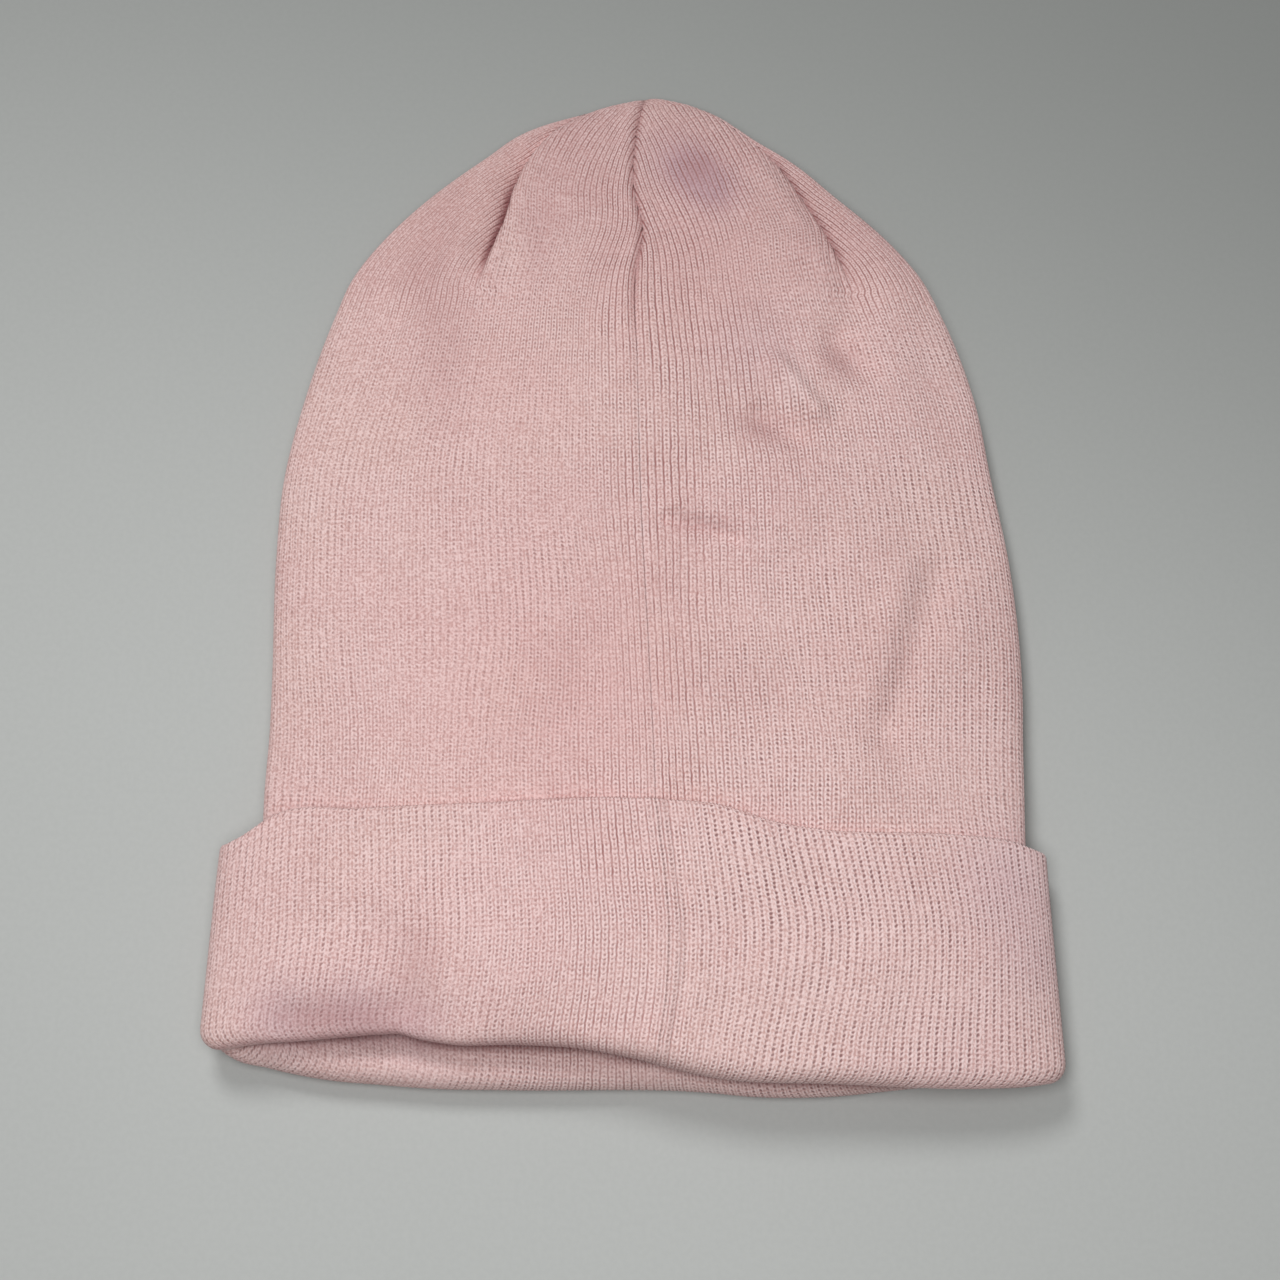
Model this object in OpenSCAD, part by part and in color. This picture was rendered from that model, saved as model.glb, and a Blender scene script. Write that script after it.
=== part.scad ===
// Rib-knit cuffed beanie, lying flat with its centre-back seam uppermost.
// Millimetres. +Y runs from the mouth to the crown tip, +Z is up, and z = 0 is the surface it lies on.
// The origin is under the middle of the beanie. Each layer of knit is one closed curved slab.

/* [Outline] */
// Flat length, from the folded mouth to the crown tip
flat_length = 275; // [255:1:300]
// Flat width across the body
body_width = 195; // [180:1:200]
// Flat width across the cuff at the mouth
cuff_width = 215; // [210:1:235]
// Flat width across the cuff at its upper edge
cuff_top_width = 209; // [207:1:225]
// Depth of the turned-up cuff
cuff_depth = 64; // [50:1:64]
// Distance from the mouth at which the crown starts to narrow
taper_start = 95; // [92:1:115]
// Sideways lean of the crown tip as it lies
tip_lean = 3; // [0:1:12]

/* [Height as it lies] */
// Height over the middle of the cuff
cuff_height = 24; // [23:0.5:30]
// Height over the middle of the body
body_height = 18; // [17:0.5:24]
// Height at the crown tip
tip_height = 11.5; // [11:0.5:15]
// Roundness of the cross-section, where 2 is an ellipse and more is flatter
section_power = 2.7; // [2:0.1:3.4]

/* [Knit] */
// Thickness of one layer of rib knit
knit = 1.5; // [1.2:0.1:1.6]
// Air between two layers that lie on each other
air = 0.3; // [0.25:0.05:0.4]
// Thickness of a sewn seam allowance between shell and lining
allowance = 0.9; // [0.6:0.1:1]
// Width of a sewn seam allowance
allowance_width = 5; // [4:0.5:7]
// Width of the seam between two panels of the shell or of the lining
seam_width = 1.6; // [1.2:0.1:2]
// Width of the raised seam on the cuff
cuff_seam_width = 3.2; // [2:0.2:5]
// How far the seam on the cuff stands up
cuff_seam_rise = 0.5; // [0.2:0.1:1]

/* [Crown] */
// Distance of a crown dart from the middle line at the tip
dart_start = 24; // [20:1:28]
// How far a crown dart spreads for each millimetre from the tip
dart_spread = 0.5; // [0.4:0.05:0.6]
// Length of a crown dart along the beanie
dart_length = 72; // [60:1:80]
// Thickness of the gathering thread that closes the crown tip
gather_thickness = 4.4; // [3.6:0.2:5]
// Thickness of the gathering thread that closes the tip of the lining
lining_gather_thickness = 2.4; // [1.6:0.2:2.6]

/* [Hidden] */

// Colours
PINK = [0.87, 0.74, 0.72];
PINK_DEEP = [0.84, 0.69, 0.68];
THREAD = [0.82, 0.66, 0.65];

// Insets of each layer's two faces, measured inwards from the outside of the shell or of the cuff
SHELL = [0, knit];
ALLOWANCE = [knit + air, knit + air + allowance];
LINING = [ALLOWANCE[1] + air, ALLOWANCE[1] + air + knit];
CUFF = [0, knit];
FACING = [knit + air, 2 * knit + air];

// Which way a layer faces
BACK = 1;
FRONT = -1;

// The body lies inside the cuff, raised by the cuff that is under it, and settles onto the surface past it
lift = FACING[1] + air;
settle_start = cuff_depth + 8;
settle_length = 20;

// The front is pressed flat by this much more than the back is
press = 1.15;

// Rounding of the cuff at the mouth and at its upper edge
mouth_round = 3;
edge_round = 1.5;

// Profile of the crown: half-width = (1 - t ^ crown_power) ^ crown_sharpness
crown_power = 3.45;
crown_sharpness = 0.735;

// The shell starts past the rounding of the mouth and stops short of the gathering at the tip
body_start = mouth_round + 1;
crown_end = flat_length - gather_thickness - air;

// Rows of facets along the body and the cuff, and columns across half of the width
straight_rows = 10;
crown_rows = 13;
body_rows = straight_rows + crown_rows;
lining_rows = body_rows - 2;
cuff_rows = 6;
round_rows = 3;
columns = 9;

// Places across a panel as shares of its half-width, closer together towards the side
half_width_places = [for (k = [0 : columns]) sin(90 * k / columns)];
left_half = [for (k = [columns : -1 : 0]) -half_width_places[k]];
right_half = half_width_places;
full_width = concat(left_half, [for (k = [1 : columns]) half_width_places[k]]);

function ease(v) = let (t = min(1, max(0, v))) t * t * (3 - 2 * t);
function mix(a, b, t) = a + (b - a) * t;

// How far along the crown a distance s from the mouth is, from 0 to 1
function crown(s) = max(0, (s - taper_start) / (flat_length - taper_start));

// The cross-section at a distance s from the mouth is [half-width, sideways shift, lowest z, highest z]
function body_section(s) =
    let (t = crown(s), settled = ease((s - settle_start) / settle_length))
    let (top = mix(cuff_height - lift, body_height, settled))
    [
        body_width / 2 * pow(1 - pow(t, crown_power), crown_sharpness),
        tip_lean * pow(t, 3),
        lift * (1 - settled),
        mix(tip_height, top, pow(1 - pow(t, 3), 0.8))
    ];

// How far a rounded edge of radius r draws in at a distance d from it
function drawn_in(d, r) = d >= r ? 0 : r - sqrt(r * r - (r - d) * (r - d));

function cuff_section(s) =
    let (fold = drawn_in(s, mouth_round) + drawn_in(cuff_depth - s, edge_round))
    [mix(cuff_width, cuff_top_width, s / cuff_depth) / 2 - fold, 0, fold, cuff_height - fold];

// A point of a section at a share w of its half-width, on its back or its front
function section_point(section, s, w, inset, facing) =
    let (middle = (section[2] + section[3]) / 2, half = (section[3] - section[2]) / 2 - inset)
    let (rise = pow(max(0, 1 - pow(abs(w), section_power)), 1 / section_power))
    [
        section[1] + w * (section[0] - inset),
        s - flat_length / 2,
        facing == BACK ? middle + half * rise : max(middle - half * press * rise, section[2] + inset)
    ];

// Distances from the mouth of the rows of the body and of the cuff
function body_row(i) =
    i <= straight_rows
        ? mix(body_start, taper_start, i / straight_rows)
        : mix(taper_start, crown_end, sin(90 * (i - straight_rows) / crown_rows));

shell_lengths = [for (i = [0 : body_rows]) body_row(i)];
lining_lengths = [for (i = [0 : lining_rows]) body_row(i)];
facing_lengths = [for (i = [0 : cuff_rows]) mix(mouth_round, cuff_depth - edge_round, i / cuff_rows)];
cuff_lengths = concat(
    [for (k = [0 : round_rows - 1]) mouth_round * (1 - cos(90 * k / round_rows))],
    facing_lengths,
    [for (k = [1 : round_rows]) cuff_depth - edge_round * (1 - sin(90 * k / round_rows))]
);

// Where a crown dart lies at a distance s from the mouth, and the rows that it runs along
function dart_place(s) = dart_start + dart_spread * (flat_length - s);
dart_lengths = [
    for (s = shell_lengths)
        if (s > flat_length - dart_length && dart_place(s) + allowance_width < body_section(s)[0] - LINING[1]) s
];

// A closed slab between two grids of points, each a list of rows that run towards +X
module slab(upper, lower) {
    rows = len(upper);
    cols = len(upper[0]);
    size = rows * cols;
    points = concat([for (row = upper) each row], [for (row = lower) each row]);
    top = [
        for (r = [0 : rows - 2], c = [0 : cols - 2])
            let (a = r * cols + c, b = a + 1, d = a + cols, e = d + 1)
                each [[a, d, b], [b, d, e]]
    ];
    bottom = [for (f = top) [f[0] + size, f[2] + size, f[1] + size]];
    ends = [
        for (c = [0 : cols - 2])
            let (a = c, b = a + 1, d = size - cols + c, e = d + 1)
                each [[a, b, a + size], [b, b + size, a + size], [d, d + size, e], [e, d + size, e + size]]
    ];
    sides = [
        for (r = [0 : rows - 2])
            let (a = r * cols, b = a + cols, d = b - 1, e = d + cols)
                each [[a, a + size, b], [b, a + size, b + size], [d, e, d + size], [e, e + size, d + size]]
    ];
    polyhedron(points, concat(top, bottom, ends, sides));
}

// The slab between two insets of a layer, whose points across each row are given by shares of its half-width
module layer(grids, facing) {
    if (facing == BACK) slab(grids[0], grids[1]);
    else slab(grids[1], grids[0]);
}

// A panel of knit. Next to a seam it stops at seam_edge from the middle line.
module panel(sections, lengths, places, insets, facing, seam_edge = 0) {
    hand = places[0] + places[len(places) - 1];
    grids = [
        for (inset = insets)
            [
                for (i = [0 : len(lengths) - 1])
                    let (edge = seam_edge / (sections[i][0] - inset))
                        [
                            for (w = places)
                                let (share = seam_edge > 0 ? sign(hand) * max(abs(w), edge) : w)
                                    section_point(sections[i], lengths[i], share, inset, facing)
                        ]
            ]
    ];
    layer(grids, facing);
}

// A narrow strip along a line that is offsets[i] from the middle line at lengths[i]
module strip(sections, lengths, offsets, width, insets, facing) {
    grids = [
        for (inset = insets)
            [
                for (i = [0 : len(lengths) - 1])
                    [
                        for (edge = [-width / 2, width / 2])
                            let (share = (offsets[i] + edge) / (sections[i][0] - inset))
                                section_point(sections[i], lengths[i], share, inset, facing)
                    ]
            ]
    ];
    layer(grids, facing);
}

module body_panel(lengths, places, insets, facing, seam_edge = 0) {
    panel([for (s = lengths) body_section(s)], lengths, places, insets, facing, seam_edge);
}

module cuff_panel(lengths, places, insets, facing, seam_edge = 0) {
    panel([for (s = lengths) cuff_section(s)], lengths, places, insets, facing, seam_edge);
}

module middle_strip(sections, lengths, width, insets) {
    strip(sections, lengths, [for (s = lengths) 0], width, insets, BACK);
}

module dart_seam(hand, facing) {
    sections = [for (s = dart_lengths) body_section(s)];
    offsets = [for (s = dart_lengths) hand * dart_place(s)];
    color(THREAD) strip(sections, dart_lengths, offsets, allowance_width, ALLOWANCE, facing);
}

// A bundle of gathering thread that lies across the beanie, closing what ends at distance s from the mouth
module gather(s, inset, thickness) {
    section = body_section(s);
    reach = section[0] - inset - thickness;
    centre = [section[1], s + air + thickness / 2 - flat_length / 2, (section[2] + section[3]) / 2];
    color(THREAD)
        translate(centre)
            rotate([0, 90, 0]) {
                cylinder(h = 2 * reach, d = thickness, center = true, $fn = 24);
                for (end = [-reach, reach]) translate([0, 0, end]) sphere(d = thickness, $fn = 24);
            }
}

seam_edge = seam_width / 2 + air / 2;
cuff_seam_edge = cuff_seam_width / 2 + air / 2;

module shell_back_left() {
    color(PINK) body_panel(shell_lengths, left_half, SHELL, BACK, seam_edge);
}

module shell_back_right() {
    color(PINK) body_panel(shell_lengths, right_half, SHELL, BACK, seam_edge);
}

module shell_front() {
    color(PINK) body_panel(shell_lengths, full_width, SHELL, FRONT);
}

module lining_back_left() {
    color(PINK_DEEP) body_panel(lining_lengths, left_half, LINING, BACK, seam_edge);
}

module lining_back_right() {
    color(PINK_DEEP) body_panel(lining_lengths, right_half, LINING, BACK, seam_edge);
}

module lining_front() {
    color(PINK_DEEP) body_panel(lining_lengths, full_width, LINING, FRONT);
}

module cuff_back_left() {
    color(PINK) cuff_panel(cuff_lengths, left_half, CUFF, BACK, cuff_seam_edge);
}

module cuff_back_right() {
    color(PINK) cuff_panel(cuff_lengths, right_half, CUFF, BACK, cuff_seam_edge);
}

module cuff_front() {
    color(PINK) cuff_panel(cuff_lengths, full_width, CUFF, FRONT);
}

module cuff_facing_back() {
    color(PINK_DEEP) cuff_panel(facing_lengths, full_width, FACING, BACK);
}

module cuff_facing_front() {
    color(PINK_DEEP) cuff_panel(facing_lengths, full_width, FACING, FRONT);
}

module shell_back_seam() {
    sections = [for (s = shell_lengths) body_section(s)];
    color(THREAD) middle_strip(sections, shell_lengths, seam_width, SHELL);
}

module back_seam_allowance() {
    sections = [for (s = shell_lengths) body_section(s)];
    color(PINK_DEEP) middle_strip(sections, shell_lengths, allowance_width, ALLOWANCE);
}

module lining_back_seam() {
    sections = [for (s = lining_lengths) body_section(s)];
    color(THREAD) middle_strip(sections, lining_lengths, seam_width, LINING);
}

module cuff_back_seam() {
    sections = [for (s = cuff_lengths) cuff_section(s)];
    color(THREAD) middle_strip(sections, cuff_lengths, cuff_seam_width, [-cuff_seam_rise, knit]);
}

module crown_gather() {
    gather(crown_end, 0, gather_thickness);
}

module lining_gather() {
    gather(body_row(lining_rows), LINING[0], lining_gather_thickness);
}

shell_back_left();
shell_back_right();
shell_front();
lining_back_left();
lining_back_right();
lining_front();
cuff_back_left();
cuff_back_right();
cuff_front();
cuff_facing_back();
cuff_facing_front();
shell_back_seam();
back_seam_allowance();
lining_back_seam();
cuff_back_seam();
dart_seam(-1, BACK);  // dart_seam_back_left
dart_seam(1, BACK);  // dart_seam_back_right
dart_seam(-1, FRONT);  // dart_seam_front_left
dart_seam(1, FRONT);  // dart_seam_front_right
crown_gather();
lining_gather();
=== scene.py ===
"""A pale pink rib-knit beanie with a turned-up cuff, lying flat with its back seam up.

Lengths inside the shape functions are in millimetres: x runs across the beanie, and s is the distance from
its mouth towards the crown tip. Meshes are made in metres, in the frame of the CAD part. A section of the
beanie is followed by phi, from -90 degrees at its left side to 90 at its right, and up is 1 for the back,
which lies on top, and -1 for the front, which lies underneath.
"""

import math

import bpy
import numpy as np
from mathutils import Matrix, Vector


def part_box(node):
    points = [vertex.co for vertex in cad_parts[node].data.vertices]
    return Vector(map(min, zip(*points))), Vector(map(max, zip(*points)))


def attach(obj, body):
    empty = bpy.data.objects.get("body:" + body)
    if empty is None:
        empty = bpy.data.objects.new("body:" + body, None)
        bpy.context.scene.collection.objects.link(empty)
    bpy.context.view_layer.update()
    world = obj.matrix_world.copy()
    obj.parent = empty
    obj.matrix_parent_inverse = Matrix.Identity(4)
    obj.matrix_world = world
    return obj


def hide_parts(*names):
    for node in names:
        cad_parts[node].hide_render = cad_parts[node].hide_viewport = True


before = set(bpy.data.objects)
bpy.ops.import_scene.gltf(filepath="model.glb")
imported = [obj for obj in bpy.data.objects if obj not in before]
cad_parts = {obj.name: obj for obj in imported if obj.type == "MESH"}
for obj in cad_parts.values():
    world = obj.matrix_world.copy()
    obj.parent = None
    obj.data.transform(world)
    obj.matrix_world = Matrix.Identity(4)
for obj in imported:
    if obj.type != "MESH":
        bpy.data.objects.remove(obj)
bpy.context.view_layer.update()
MM = 0.001

# ---------------- sizes

# From the frame
MOUTH_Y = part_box("cuff_front")[0].y / MM
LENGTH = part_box("crown_gather")[1].y / MM - MOUTH_Y
CUFF_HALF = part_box("cuff_front")[1].x / MM
CUFF_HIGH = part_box("cuff_back_left")[1].z / MM
CUFF_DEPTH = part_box("cuff_front")[1].y / MM - MOUTH_Y

# The body as it lies: its heights, and the places along it where its shape changes
TIP_HIGH = 11.5
BODY_HIGH = 18.0
TAPER_START = 95.0
CROWN_START = 212.0
TIP_ROUND = LENGTH - 14
TIP_END = LENGTH + 1.4
CROWN_END = TIP_END - 0.03
# How much the cuff lifts the body off the floor, and how far it stands over it
LIFT = 2.8
# How square the sections are, and how flat the underside is pressed
SECTION_POWER = 2.7
PRESS = 1.15

# The knit: thickness of a layer, depth of its ribs, length of a stitch, and mesh points to a wale
KNIT = 1.4
RIB = 0.34
COURSE = 1.2
POINTS_PER_WALE = 4
# Width of a wale on each panel
PITCH_LEFT = 1.56
PITCH_RIGHT = 1.74
PITCH_CUFF = 1.95
PITCH_LINING = 2.0
# How far the shell's edges lap and sink at the back seam
SEAM_LAP = 0.2
SEAM_SUNK = 0.3
# The lining: its rib, how far it lies inside the shell, and how far it stops before the tip
LINING_RIB = 0.3
LINING_INSET = 3.0
LINING_SHORT = 4.8
# The cuff: radius of its rolled lip and of its top edge, length that is tucked in at the top, how deep its
# inner side lies and where that ends, the line half-way up it, and its thickness
LIP_TURN = 5.2
TOP_TURN = 1.25
TUCK = 6.0
INNER_INSET = 8.4
INSIDE_END = 44.0
CUFF_MIDDLE = 34.0
CUFF_KNIT = 1.3
# The hidden layer of the cuff, and the seam's turned-in edges: rib, thickness and how far inside they lie,
# and of the edges also half their width and the width of a wale
FACING_RIB = 0.25
FACING_KNIT = 0.7
FACING_INSET = 1.5
ALLOWANCE_RIB = 0.2
ALLOWANCE_KNIT = 0.8
ALLOWANCE_INSET = 1.9
ALLOWANCE_HALF = 2.5
ALLOWANCE_PITCH = 1.7
# The seams' thread: half its thickness, and the length of a winding
THREAD = 0.24
WINDING = 1.6


def ease(v):
    """Smoothly from 0 to 1 as v goes from 0 to 1."""
    t = np.clip(v, 0, 1)
    return t * t * (3 - 2 * t)


def mix(a, b, t):
    return a + (b - a) * t


def bell(*offsets):
    """A smooth bump: 1 where every offset is 0, and almost gone where one is 2."""
    return np.exp(-sum(offset**2 for offset in offsets))


def spline(*points):
    """A smooth function through (place, value) points."""
    places, values = np.array(points, float).T
    slopes = np.gradient(values, places)

    def at(x):
        x = np.clip(x, places[0], places[-1])
        i = np.clip(np.searchsorted(places, x) - 1, 0, len(places) - 2)
        h = places[i + 1] - places[i]
        t = (x - places[i]) / h
        start = (1 + 2 * t) * (1 - t) ** 2 * values[i] + t * (1 - t) ** 2 * h * slopes[i]
        return start + t * t * (3 - 2 * t) * values[i + 1] + t * t * (t - 1) * h * slopes[i + 1]

    return at


def lumps(x, s, size, seed):
    """Smooth noise from -1 to 1 whose lumps are about size across."""
    grid = np.random.default_rng(seed).uniform(-1, 1, (256, 256))
    x, s = x / size + 1024, s / size + 1024
    i, j = np.floor(x).astype(int), np.floor(s).astype(int)
    a, b = ease(x - i), ease(s - j)
    near = mix(grid[i % 256, j % 256], grid[(i + 1) % 256, j % 256], a)
    far = mix(grid[i % 256, (j + 1) % 256], grid[(i + 1) % 256, (j + 1) % 256], a)
    return mix(near, far, b)


# ---------------- outline and sections

# x of each line of the outline and of the seams, along s
body_left = spline(
    (0, -96), (72, -96), (104, -96), (137, -96.5), (159, -95.5), (182, -91), (206, -84), (219, -79),
    (231, -70.5), (243, -59), (255, -44.5), (265, -30.5), (270, -17.5), (275, -3), (276.4, 3.5),
)
body_right = spline(
    (0, 97.5), (72, 98), (104, 99.5), (137, 97.5), (159, 94), (182, 90.5), (206, 83), (219, 77),
    (231, 67.5), (243, 55), (255, 42), (262, 32), (266, 27), (270, 21.5), (275, 10.5), (276.4, 5.5),
)
cuff_centre = spline((0, -2.3), (30, -2.2), (55, -2.0), (72, -1.5))
body_seam = spline(
    (0, 3.6), (72, 3.8), (110, 2.2), (150, 0.2), (190, -0.8), (216, -1.4), (231, 0.6), (243, -1.7),
    (262, -1.2), (275, 1),
)
cuff_seam = spline((-5, 2.0), (10, 4.0), (24, 6.6), (38, 7.6), (52, 6.0), (72, 2.8))
dart_left = spline(
    (190, -52), (212, -45), (223, -42), (235, -38), (245, -35.5), (256, -30), (266, -21.5), (275, -9),
)
dart_right = spline((190, 64), (212, 58.5), (228, 52.5), (241, 45.5), (258, 34), (267, 24), (275, 14))
front_dart = spline((190, -60), (212, -53), (235, -45), (256, -32), (275, -12))

# s of the cuff's edges, along x
top_edge = spline(
    (-108, 60.5), (-104, 62), (-95, 67), (-70, 68.5), (-35, 70), (-5, 71), (10, 70.5),
    (24, 69), (36, 65), (48, 63), (82, 62), (97, 60.5), (102, 59), (108, 57.5),
)
back_lip = spline(
    (-108, 9.5), (-97, 10.8), (-87, 11.3), (-75, 12.2), (-65, 12.9), (-60, 13.0), (-54, 11.6), (-46, 10.4),
    (-30, 10.3), (-12, 9.3), (2, 7), (14, 4.2), (25, 2.2), (52, 1), (102, 0.8), (108, 1.6),
)
front_lip = spline(
    (-108, 9.5), (-106, 8), (-96, 5.2), (-82, 2.6), (-67, 1.3), (-54, 0.4), (-33, 0), (15, -0.5),
    (30, -1.7), (47, -1.7), (75, 0.6), (102, 0.8), (108, 1.6),
)


def body_form(s):
    """Half-width, middle, lowest and highest point of the body's section at s."""
    t = np.clip((s - TAPER_START) / (LENGTH + 0.4 - TAPER_START), 0, 1)
    settled = ease((s - CUFF_DEPTH - 8) / 20)
    top = mix(CUFF_HIGH - LIFT, BODY_HIGH, settled)
    half_width = (body_right(s) - body_left(s)) / 2
    low = LIFT * (1 - settled)
    high = mix(TIP_HIGH * 0.8, top, (1 - t**3) ** 0.8)
    half = (high - low) / 2 * closing(s)
    middle_z = mix(low + (high - low) * 0.42, (low + high) / 2, closing(s))
    return half_width, (body_left(s) + body_right(s)) / 2, middle_z - half, middle_z + half


def cuff_form(s):
    """The same for the cuff."""
    along = np.clip(s, -4, 76) / CUFF_DEPTH
    half_width = mix(CUFF_HALF, CUFF_HALF - 3, along) + 0 * s
    return half_width, cuff_centre(s), 0 * s, CUFF_HIGH + 0 * s


def closing(s):
    """How far the body is from closed at the tip: 1 up to the tip's round, and 0 at its end."""
    t = np.clip(s - TIP_ROUND, 0, TIP_END - TIP_ROUND) / (TIP_END - TIP_ROUND)
    return np.sqrt(1 - t**2)


def side_fade(phi):
    """1 over most of a section, and 0 at its sides."""
    return 1 - np.abs(np.sin(phi)) ** 8


def skin(form, s, phi, inset, up, relief=None):
    """Points on a section, inset millimetres below its surface."""
    half_width, middle, low, high = form(s)
    w = np.sin(phi)
    rise = np.clip(1 - np.abs(w) ** SECTION_POWER, 0, 1) ** (1 / SECTION_POWER)
    centre = (low + high) / 2
    half = (high - low) / 2 - inset
    x = middle + w * (half_width - inset)
    if up > 0:
        z = centre + half * rise
    else:
        z = np.maximum(centre - half * PRESS * rise, low + inset)
    if relief is not None:
        z = z + relief(x, s) * side_fade(phi)
    return np.stack([x, s + MOUTH_Y, z], -1)


def unit(v):
    return v / np.maximum(np.linalg.norm(v, axis=-1, keepdims=True), 1e-9)


def level_sides(normal, phi):
    """Unit normals that lie level at the very sides, so that back and front meet there."""
    side = ease((np.abs(np.sin(phi)) - 0.995) / 0.005)
    normal[..., 2] *= 1 - side
    return unit(normal)


def skin_normal(form, s, phi, inset, up, relief=None):
    """Outward unit normals of skin()."""
    step = 0.004
    a = skin(form, s, np.clip(phi + step, -math.pi / 2, math.pi / 2), inset, up, relief)
    b = skin(form, s, np.clip(phi - step, -math.pi / 2, math.pi / 2), inset, up, relief)
    ahead = skin(form, s + 0.3, phi, inset, up, relief)
    behind = skin(form, s - 0.3, phi, inset, up, relief)
    return level_sides(np.cross(a - b, ahead - behind) * up, phi)


# ---------------- relief: creases, ridges and soft waves


def distance_to_line(x, s, points):
    """Distance of each (x, s) from a bent line."""
    best = np.full(np.shape(x), 1e9)
    for (x0, s0), (x1, s1) in zip(points[:-1], points[1:]):
        dx, ds = x1 - x0, s1 - s0
        t = np.clip(((x - x0) * dx + (s - s0) * ds) / (dx * dx + ds * ds), 0, 1)
        best = np.minimum(best, np.hypot(x - x0 - t * dx, s - s0 - t * ds))
    return best


# Each fold is (height, half-thickness, points of its line as (x, s)), and a valley's height is below 0
BODY_FOLDS = [
    # second, shallower valley outside the left dart
    (-1.3, 2.6, [(-56, 228), (-61, 214), (-68, 200)]),
    (0.8, 4.0, [(-50, 222), (-55, 205)]),
    # soft dimple where the right dart ends
    (-1.6, 4.5, [(57, 214), (60, 204)]),
    (1.3, 6.0, [(50, 252), (62, 232), (72, 212)]),
    # pucker below the right dart
    (2.8, 3.2, [(37, 190), (42, 183), (47, 176)]),
    (-3.2, 4.8, [(54, 198), (60, 190)]),
    (-3.0, 4.8, [(33, 175), (41, 170)]),
    (-1.5, 1.8, [(7, 146), (16, 144), (25, 140)]),
    (0.9, 2.5, [(8, 150), (18, 148), (28, 144)]),
    (0.9, 6.0, [(62, 194), (72, 178)]),
    # long shallow folds on the body
    (-1.9, 5.0, [(78, 132), (70, 108), (63, 88)]),
    (1.1, 5.0, [(69, 130), (60, 100)]),
    (0.7, 10.0, [(-30, 150), (-20, 100)]),
    (-0.8, 9.0, [(-66, 160), (-58, 120)]),
    (-0.7, 8.0, [(14, 140), (20, 112)]),
]

CUFF_FOLDS = [
    (-1.3, 5.5, [(-62, 36), (-56, 22)]),
    (-0.7, 8.0, [(-40, 16), (-30, 14)]),
    (0.8, 9.0, [(-82, 26), (-74, 14)]),
    (-0.8, 7.0, [(52, 40), (40, 52)]),
    (-0.6, 8.0, [(20, 20), (24, 40)]),
    (0.6, 10.0, [(60, 22), (84, 18)]),
]


def waves(x, s, size):
    """Soft unevenness of cloth that has been worn and laid down."""
    return size * (lumps(x, s, 30, 1) + 0.5 * lumps(x, s, 14, 2) + 0.2 * lumps(x, s, 6, 3))


def folds(x, s, lines):
    total = 0 * x
    for height, thick, points in lines:
        total = total + height * bell(distance_to_line(x, s, points) / thick)
    return total


def crease(x, s, line, inward, deep, soft):
    """A crease along a line x(s): the side gore slopes down into it, under the edge of the centre gore."""
    slope = (line(s + 1) - line(s - 1)) / 2
    off = inward * (x - line(s)) / np.hypot(1, slope)
    strength = ease((s - 210) / 16) * (1 - 0.6 * ease((s - 246) / 18))
    side_slope = np.where(off < 0, np.exp(off / 2.2), bell(off / 0.55))
    return -strength * (deep * side_slope + soft * bell(off / 4.5))


def ridge(x, s, line, beside, high):
    """A rounded ridge beside a crease."""
    off = x - line(s) - beside
    return high * ease((s - 200) / 22) * (1 - ease((s - 250) / 18)) * bell(off / 3.2)


def body_relief(x, s):
    """Height of the body's back over its plain section. Under the cuff it follows the cuff's."""
    seam = np.abs(x - body_seam(s))
    crown = ease((s - 185) / 30)
    groove = -(0.05 + 1.2 * crown) * bell(seam)
    shoulder = (0.1 + 0.5 * crown) * bell((seam - 2.6) / 2.0)
    left = crease(x, s, dart_left, 1, 3.9, 0.9) + ridge(x, s, dart_left, 2.6, 1.3)
    right = crease(x, s, dart_right, -1, 1.6, 1.3) + ridge(x, s, dart_right, -5.0, 0.6)
    own = closing(s) * (groove + shoulder + left + right + folds(x, s, BODY_FOLDS) + waves(x, s, 1.25))
    return mix(cuff_relief(x, s), own, ease((s - 58) / 14))


def cuff_relief(x, s):
    """Height of the cuff's back over its plain section, with a flat band at its seam and a lip that dips."""
    seam = np.abs(x - cuff_seam(s))
    band = 0.8 * bell((seam / 2.7) ** 2) - 0.2 * bell((seam - 4.2) / 1.3)
    turned = ease((x + 100) / 14) * (1 - ease((x + 62) / 26)) + 0.4 * (1 - ease((x + 10) / 20))
    tucked = -2.4 * turned * bell((s - back_lip(x) - 3) / 7.5)
    return band + tucked + folds(x, s, CUFF_FOLDS) + waves(x, s + 300, 0.9)


# ---------------- meshes


def add_object(name, data):
    thing = bpy.data.objects.new(name, data)
    bpy.context.scene.collection.objects.link(thing)
    return thing


class Lattice:
    """A grid of points on a knit panel: places across and along, and the stitch that is there."""

    def __init__(self, s, phi, wale, course):
        self.s = s
        self.phi = phi
        self.wale = wale
        self.course = course

    def flipped(self):
        return Lattice(self.s[:, ::-1], self.phi[:, ::-1], self.wale[:, ::-1], self.course[:, ::-1])

    def beside(self, other):
        pairs = zip(vars(self).values(), vars(other).values())
        return Lattice(*[np.concatenate(pair, axis=1) for pair in pairs])


def rib(wale, depth, openness=0.0):
    """Height of the rib: two strands to a wale, and a groove beside them that closes as it is pulled open."""
    swing = 0.5 * np.cos(2 * math.pi * wale)
    groove = (1 - 0.7 * openness) * (0.5 - swing) ** 3
    parting = (0.2 + 0.3 * openness) * (0.5 + swing) ** 3
    return depth * (1 - groove - parting)


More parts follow.
